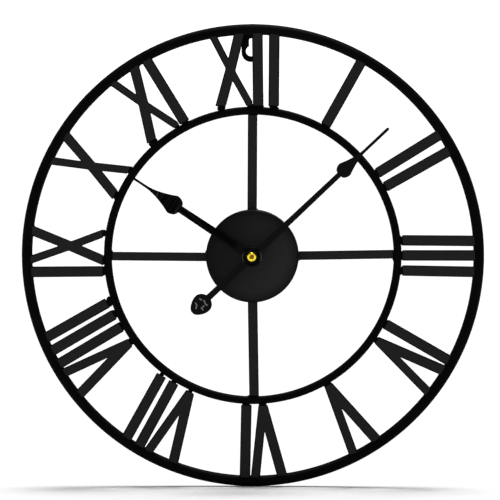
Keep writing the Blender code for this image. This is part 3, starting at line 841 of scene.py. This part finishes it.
# %% Beads on the spokes and the hanger
hub_low, hub_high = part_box("hub_dish")
hub_radius = (hub_high.x - hub_low.x) / 2 / MM
inner_inside = inner_outside - (inner_high.y - inner_low.y) / MM
SPOKE_FORWARD, SPOKE_HALF = 4.2, 4.6
spoke_beads = []
for clock_angle in (0.0, 90.0, 180.0, 270.0):
    spoke_beads.append(lay_bead(clock_angle, hub_radius + 0.2, SPOKE_FORWARD, SPOKE_HALF, 1.2, 1.3))
    spoke_beads.append(lay_bead(clock_angle, inner_inside - 0.1, SPOKE_FORWARD, SPOKE_HALF, 1.2, 1.5))
hanger_beads = [lay_bead(angle, bar_inside + 0.6, 1.2, 3.0, 1.0, 1.0) for angle in (-2.0, 1.1)]
spoke_welds = join("spoke_welds", spoke_beads + hanger_beads)
bpy.data.objects.remove(bead)
for welds in (inner_welds, outer_welds, spoke_welds):
    pick(welds)
    bpy.ops.object.shade_smooth()
    finish_piece(welds, frame_paint, "frame", "frame_black")

# %% [markdown]
# ## The hanger
#
# A small plate with a keyhole: the screw's head goes through the round hole, and its shank slides up the
# slot. It is a copy of the model's plate with its cut edges broken, and its top edge reaches the bar.

# %% Keyhole hanger
HANGER_STRETCH = 1.4
hanger = copy_node("keyhole_hanger", "hanger_plate")
hanger_top = max(vert.co.z for vert in hanger.data.vertices)
for vert in hanger.data.vertices:
    if vert.co.z > hanger_top - 0.1 * MM:
        vert.co.z += HANGER_STRETCH * MM
soften(hanger, 0.22, 2, 50.0)
finish_piece(hanger, frame_paint, "frame", "frame_black", "keyhole_hanger")

# %% [markdown]
# ## The hub dish
#
# The dish is pressed from one round sheet: a faintly crowned face, a tight bend, and a straight side. Its
# profile is turned from the hole in the middle out over the bend and down the side, then back up inside, a
# sheet's thickness away.

# %% Hub dish
SHEET = 1.0
HUB_BEND = 2.5
HUB_DROP = 1.2
BUSH_HOLE = 4.3
RIM_CHAMFER = 0.3
hub_back, hub_front = -hub_high.y / MM, -hub_low.y / MM


def dish_side(inset):
    """Stations from the hole to the rim, inset by so much from the outer skin."""
    flat = hub_radius - HUB_BEND
    face = [BUSH_HOLE + (flat - BUSH_HOLE) * step / 12 for step in range(13)]
    stations = [(radius, hub_front - inset - HUB_DROP * (radius / flat) ** 2) for radius in face]
    bend = (flat, hub_front - HUB_DROP - HUB_BEND)
    stations += arc(HUB_BEND - inset, 90.0, 0.0, 8, bend)[1:]
    stations.append((hub_radius - inset, hub_back + RIM_CHAMFER))
    chamfer = -RIM_CHAMFER if inset == 0.0 else RIM_CHAMFER
    stations.append((hub_radius - inset + chamfer, hub_back))
    return stations


profile = dish_side(0.0) + dish_side(SHEET)[::-1]
dish = turn("pressed_dish", profile + profile[:1], 160)
smooth(dish, 50.0)
finish_piece(dish, hub_paint, "frame", "hub_black", "hub_dish")

# %% [markdown]
# ## The hands
#
# Each hand is stamped from thin plate: a round eye, a straight shaft, a spade with round shoulders, and a
# needle. The blade is drawn out station by station, and the eye is turned and joined to it. The hand is
# made pointing at twelve and then turned to where the model's hand points.

# %% The outline of a hand
SPADE_HOLLOW = 1.7      # a power over 1 makes the taper to the needle hollow


def spade(start, widest, end, neck, half_width, needle, steps=10):
    """Stations up a spade: round shoulders from its neck, then a hollow taper to the needle."""
    stations = []
    for step in range(steps + 1):
        turned = math.radians(90.0 * step / steps)
        half = neck + (half_width - neck) * math.sin(turned)
        stations.append((half, widest - (widest - start) * math.cos(turned)))
    for step in range(1, steps + 1):
        share = step / steps
        half = needle + (half_width - needle) * (1.0 - share) ** SPADE_HOLLOW
        stations.append((half, widest + (end - widest) * share))
    return stations


# %% [markdown]
# The hour hand fits on the outer tube, so its eye has the wider hole.

# %% Hour hand
hour_low, hour_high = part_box("hour_hand")
hour_back, hour_front = -hour_high.y / MM, -hour_low.y / MM
TUBE_HOLE = 2.8
stations = [(3.5, 4.0), (3.5, 9.0), (3.4, 43.0)] + spade(74.0, 82.0, 109.0, 3.15, 8.45, 1.05)
stations += [(1.0, 121.5), (0.8, 122.8), (0.3, 123.5)]
hour_blade = draw_out("hour_hand_plate", stations, hour_back, hour_front)
eye = [(TUBE_HOLE, hour_back), (7.5, hour_back), (7.5, hour_front), (4.6, hour_front)]
eye += [(4.3, hour_front + 0.25), (TUBE_HOLE, hour_front + 0.25), (TUBE_HOLE, hour_back)]
hour_hand = unite(hour_blade, turn("eye", eye, 64))
hour_angle = tip_angle("hour_hand")
turn_clockwise(hour_hand, hour_angle)
soften(hour_hand, 0.22, 2, 50.0)
finish_piece(hour_hand, hand_paint, "hour_train", "hand_black", "hour_hand")
print(f"hour hand at {hour_angle:.1f} degrees")

# %% [markdown]
# The minute hand carries a leaf-shaped tail, which balances it, and a raised collar round its eye.

# %% Minute hand
minute_low, minute_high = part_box("minute_hand")
minute_back, minute_front = -minute_high.y / MM, -minute_low.y / MM
ARBOR_HOLE = 1.9
stations = [(2.85, 4.0), (2.85, 9.0), (2.6, 43.0), (2.35, 85.0)]
stations += spade(103.2, 110.2, 132.2, 2.3, 6.8, 1.3) + [(1.3, 159.9), (1.0, 161.0), (0.4, 161.6)]
minute_blade = draw_out("minute_hand_plate", stations, minute_back, minute_front)
leaf = [(2.85, 4.0), (2.85, 9.0), (2.75, 42.0), (2.75, 50.6)]
for step in range(1, 11):
    turned = math.radians(15.0 + 7.5 * step)
    leaf.append((8.6 * math.sin(turned), 58.3 - 7.6 * math.cos(turned)))
leaf += [(8.45, 60.7), (7.8, 62.7), (6.9, 64.7), (5.7, 66.7), (4.6, 68.1), (3.1, 69.5), (1.4, 70.3)]
tail = draw_out("tail", leaf, minute_back, minute_front)
turn_clockwise(tail, 180.0)
collar = [(ARBOR_HOLE, minute_back), (8.2, minute_back), (8.3, minute_front), (7.9, minute_front + 0.55)]
collar += [(7.3, minute_front + 0.75), (6.6, minute_front + 0.6), (6.1, minute_front + 0.2)]
collar += [(ARBOR_HOLE, minute_front + 0.2), (ARBOR_HOLE, minute_back)]
minute_hand = unite(minute_blade, tail, turn("eye", collar, 80))
turn_clockwise(minute_hand, MINUTE_ANGLE)
soften(minute_hand, 0.22, 2, 50.0)
finish_piece(minute_hand, minute_paint, "minute_train", "hand_black", "minute_hand")
print(f"minute hand at {MINUTE_ANGLE:.1f} degrees")

# %% [markdown]
# The hand nut is a small turned brass nut, domed in front, screwed on the end of the arbor.

# %% Hand nut
nut_low, nut_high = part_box("hand_nut")
nut_back, nut_front = -nut_high.y / MM, -nut_low.y / MM
nut_stations = [(ARBOR_HOLE, nut_back), (3.7, nut_back), (3.95, nut_back + 0.25), (3.95, nut_front - 1.3)]
nut_stations += arc(1.1, 0.0, 70.0, 5, (2.85, nut_front - 1.1)) + [(2.2, nut_front)]
nut_stations += [(ARBOR_HOLE, nut_front - 0.3), (ARBOR_HOLE, nut_back)]
nut = turn("turned_nut", nut_stations, 64)
smooth(nut, 40.0)
finish_piece(nut, brass, "minute_train", "brass", "hand_nut")

# %% [markdown]
# ## The movement
#
# Behind the dish is a moulded case in two halves, with a threaded bush through the dish, a battery bay
# and a setting knob at the back. The halves are copies of the model's with their moulded edges rounded.

# %% The case
front_case = copy_node("movement_front_case", "case_front_half")
soften(front_case, 0.3, 2, 50.0)
finish_piece(front_case, case_plastic, "frame", "case_plastic", "movement_front_case")
rear_cover = copy_node("movement_rear_cover", "case_rear_half")
soften(rear_cover, 0.3, 2, 50.0)
finish_piece(rear_cover, case_plastic, "frame", "case_plastic", "movement_rear_cover")

# %% [markdown]
# The setting knob has a milled edge for the thumb. Its disc is turned, and every other face of its side is
# inset and pushed in to make the grooves. The stem and pinion come from the model.

# %% Setting knob
knob_low, knob_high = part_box("setting_knob")
knob_centre = Vector(((knob_low.x + knob_high.x) / 2, 0.0, (knob_low.z + knob_high.z) / 2))
knob_radius = (knob_high.x - knob_low.x) / 2 / MM
knob_back = -knob_high.y / MM
disc = [(0.6, knob_back + 0.5), (4.0, knob_back + 0.5), (4.6, knob_back), (knob_radius, knob_back)]
disc += [(knob_radius + 0.2, knob_back + 0.3), (knob_radius + 0.2, knob_back + 2.2), (0.6, knob_back + 2.4)]
knob_disc = turn("milled_disc", disc, 60, knob_centre)


def on_rim(face):
    """Every other face of the disc's side."""
    out = face.calc_center_median() - knob_centre
    angle = math.degrees(math.atan2(out.x, out.z))
    on_side = abs(face.normal.y) < 0.3 and math.hypot(out.x, out.z) > 0.9 * knob_radius * MM
    return on_side and int(angle // 6) % 2


edit(knob_disc)
print("grooves in the knob:", choose(knob_disc, "FACE", on_rim))
bpy.ops.mesh.inset(thickness=0.05 * MM, depth=-0.15 * MM, use_individual=True)
leave()
knob = unite(copy_node("setting_knob", "milled_knob"), knob_disc)
smooth(knob, 30.0)
finish_piece(knob, case_plastic, "setting_knob", "case_plastic", "setting_knob")

# %% [markdown]
# The battery is an AA cell: a printed sleeve shrunk over a steel can, a nub at one end and a flat plate at
# the other. It is turned along its own length, then laid on its side in the bay.

# %% Battery
battery_low, battery_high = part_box("battery")
battery_middle = (battery_low + battery_high) / 2
length = (battery_high.x - battery_low.x) / MM
cell_radius = (battery_high.z - battery_low.z) / 2 / MM
half = length / 2
shell = [(0.3, half), (2.3, half), (2.6, half - 0.3), (2.7, half - 1.3), (6.0, half - 1.5)]
shell += [(6.4, half - 1.2), (cell_radius - 0.3, half - 1.25), (cell_radius, half - 1.8)]
shell += [(cell_radius, 0.8 - half), (cell_radius - 0.3, 0.25 - half), (6.3, 0.2 - half)]
shell += [(6.0, -half), (0.3, -half)]
battery = turn("aa_cell", shell, 64, Vector((0.0, 0.0, 0.0)))
battery.rotation_euler = (0.0, 0.0, math.radians(90.0))
battery.location = battery_middle
settle(battery)
smooth(battery, 40.0)


BAND_AT = 12.0          # where the copper band of the sleeve begins, from the middle of the cell


def jacket_finish():
    finish = Finish("battery_sleeve", (0.03, 0.10, 0.07), 0.3, gloss=0.5)
    along = finish.axis(finish.place(), "X")
    band = (along - (battery_middle.x + BAND_AT * MM)).between(0.0, 0.2 * MM)
    tones = finish.between_colours((0.012, 0.012, 0.013), (0.55, 0.26, 0.06), band)
    finish.feed(finish.shader, {"Base Color": tones, "Roughness": 0.25 + 0.1 * finish.noise(200.0)})
    return finish.material


sleeve = jacket_finish()
finish_piece(battery, sleeve, "battery", "battery_jacket", "battery")
battery.data.materials.append(steel)
for face in battery.data.polygons:
    ring = math.hypot(face.center.y - battery_middle.y, face.center.z - battery_middle.z)
    if ring < 6.35 * MM and abs(face.center.x - battery_middle.x) > (half - 2.0) * MM:
        face.material_index = 1

# %% [markdown]
# A bent strip of spring steel touches each end of the cell.

# %% Contacts
for end in ("positive", "negative"):
    contact = copy_node(f"battery_contact_{end}", f"contact_strip_{end}")
    smooth(contact, 20.0)
    finish_piece(contact, steel, "frame", "steel", f"battery_contact_{end}")

# %% [markdown]
# Three fixings hold the movement to the dish. The hexagon nut gets the chamfer that a real one is turned
# with, and the washers a broken edge.

# %% Nut and washers
hex_nut = copy_node("hex_nut", "hexagon_nut")
soften(hex_nut, 0.3, 2, 40.0)
finish_piece(hex_nut, brass, "frame", "brass", "hex_nut")
washer = copy_node("fixing_washer", "brass_washer")
soften(washer, 0.12, 2, 50.0)
finish_piece(washer, brass, "frame", "brass", "fixing_washer")
pad = copy_node("rubber_washer", "rubber_pad")
soften(pad, 0.2, 2, 50.0)
finish_piece(pad, rubber, "frame", "rubber", "rubber_washer")

# %% [markdown]
# ## Inside the case
#
# The wheels, the motor and the circuit are closed in the case. Their shapes in the model are already right,
# so they stay, each with its own finish.

# %% Finishes for the parts that stay
STAYING = {
    "minute_arbor": arbor_brass,
    "hour_wheel": gear_plastic,
    "motion_wheel": gear_plastic,
    "centre_wheel": gear_plastic,
    "third_wheel": gear_plastic,
    "second_wheel": gear_plastic,
    "step_wheel": gear_plastic,
    "rotor": steel,
    "stator": steel,
    "coil_core": steel,
    "motor_coil": copper,
    "circuit_board": board,
    "quartz_crystal": steel,
}
for node, paint in STAYING.items():
    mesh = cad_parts[node].data
    mesh.materials.clear()
    mesh.materials.append(paint)
print(len(STAYING), "inner parts keep their shape")

# %% [markdown]
# ## Studio
#
# The clock stands on its lower edge on a plain pale floor. The room's walls are white up to a little above
# the horizon and its ceiling is dim, so most of the floor's light comes from one soft sun above and behind.
# The clock then has a faint soft shadow round its foot, and its face is lit by the white walls alone.

# %% Floor
bpy.ops.object.select_all(action="DESELECT")
bpy.ops.mesh.primitive_plane_add(size=60.0, location=(0.0, 0.0, floor_height))
floor = bpy.context.object
floor.name = "studio_floor"
floor_finish = Finish("pale_floor", grey(0.50), 0.9, gloss=0.0)
floor.data.materials.append(floor_finish.material)

# %% Room and sun
WALLS, CEILING = 1.25, 0.30
room = bpy.data.worlds.new("white_room")
room.use_nodes = True
bpy.context.scene.world = room
sky = Tree(room.node_tree)
height = sky.axis(sky.node("ShaderNodeTexCoord", output="Generated"), "Z")
strength = WALLS + (CEILING - WALLS) * height.between(0.16, 0.34)
background = room.node_tree.nodes["Background"]
sky.feed(background, {"Color": (1.0, 1.0, 1.0, 1.0), "Strength": strength})

sun_data = bpy.data.lights.new("soft_sun", "SUN")
sun_data.energy = 5.8
sun_data.angle = math.radians(28.0)
sun = bpy.data.objects.new("soft_sun", sun_data)
bpy.context.scene.collection.objects.link(sun)
FALL = Vector((-0.05, -0.18, -1.0))         # the way its light falls: a little to the left, and forwards
sun.rotation_euler = FALL.to_track_quat("-Z", "Y").to_euler()
print("lights:", room.name, "and", sun.name)

# %% [markdown]
# The camera stands four metres away with a long lens, under three degrees above the dial and a little to the
# right, and aims just left of the centre and above it.

# %% Camera
CAMERA_DISTANCE = 4.0
azimuth, elevation = math.radians(1.7), math.radians(2.6)
aim = CENTRE + Vector((-2.25, -hoop_forward, 4.85)) * MM
away = Vector((
    math.sin(azimuth) * math.cos(elevation),
    -math.cos(azimuth) * math.cos(elevation),
    math.sin(elevation),
))
lens = bpy.data.cameras.new("camera")
lens.lens = 333.1
lens.sensor_width = 36.0
camera = bpy.data.objects.new("camera", lens)
bpy.context.scene.collection.objects.link(camera)
camera.location = aim + away * CAMERA_DISTANCE
camera.rotation_euler = (-away).to_track_quat("-Z", "Y").to_euler()
bpy.context.scene.camera = camera
bpy.context.scene.view_settings.view_transform = "Standard"
